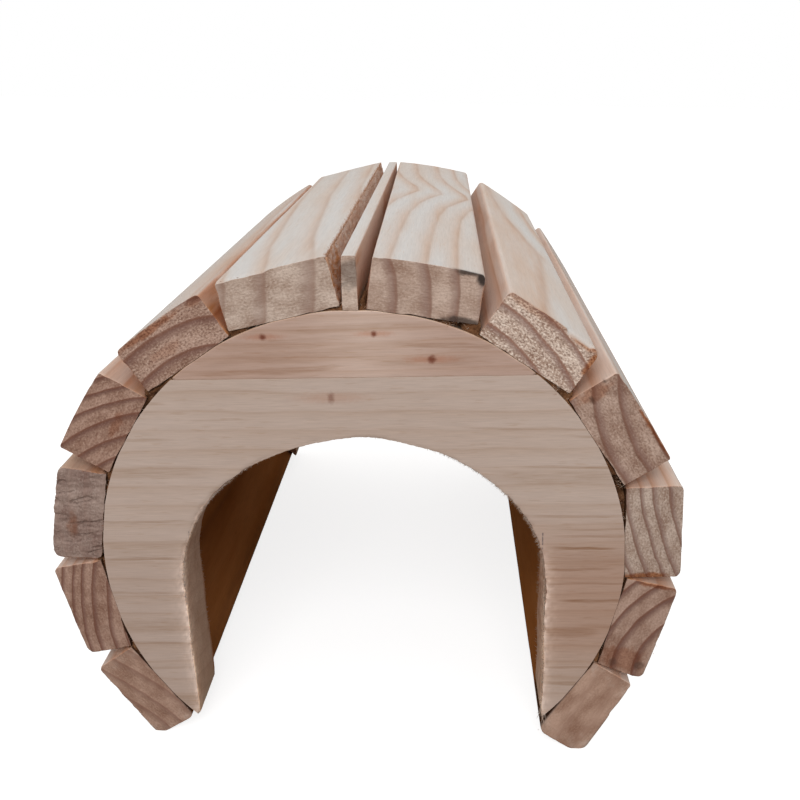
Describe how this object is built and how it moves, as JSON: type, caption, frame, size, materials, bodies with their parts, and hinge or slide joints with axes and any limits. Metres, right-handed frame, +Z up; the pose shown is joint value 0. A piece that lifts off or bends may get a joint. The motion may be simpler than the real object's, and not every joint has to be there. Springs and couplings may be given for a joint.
{
  "type": "wooden hamster house",
  "caption": "Low wooden tunnel house for a hamster: solid pine laths glued round two arched end boards, open at both ends, standing on its lowest laths.",
  "frame": {"origin": "centre of the bounding box, at the level of the floor it stands on", "axes": "+X to the right as seen from the front entrance, +Y along the tunnel from the front entrance to the rear one, +Z up"},
  "size_m": [0.1449, 0.176, 0.1213],
  "materials": {
    "lath_pine": "planed long faces and sawn ends, unfinished",
    "weathered_pine": "greyed and woolly from weather, unfinished",
    "arch_pine": "sanded faces and sawn edges, unfinished"
  },
  "bodies": {
    "root": {"left_foot_lath": "lath_pine", "left_lower_lath": "lath_pine", "left_weathered_lath": "weathered_pine", "left_upper_lath": "lath_pine", "left_shoulder_lath": "lath_pine", "ridge_left_lath": "lath_pine", "filler_strip": "lath_pine", "ridge_right_lath": "lath_pine", "right_shoulder_lath": "lath_pine", "right_upper_lath": "lath_pine", "right_middle_lath": "lath_pine", "right_lower_lath": "lath_pine", "right_foot_lath": "lath_pine", "front_arch_top_board": "arch_pine", "front_arch_main_board": "arch_pine", "rear_arch_top_board": "arch_pine", "rear_arch_main_board": "arch_pine"}
  },
  "joints": []
}
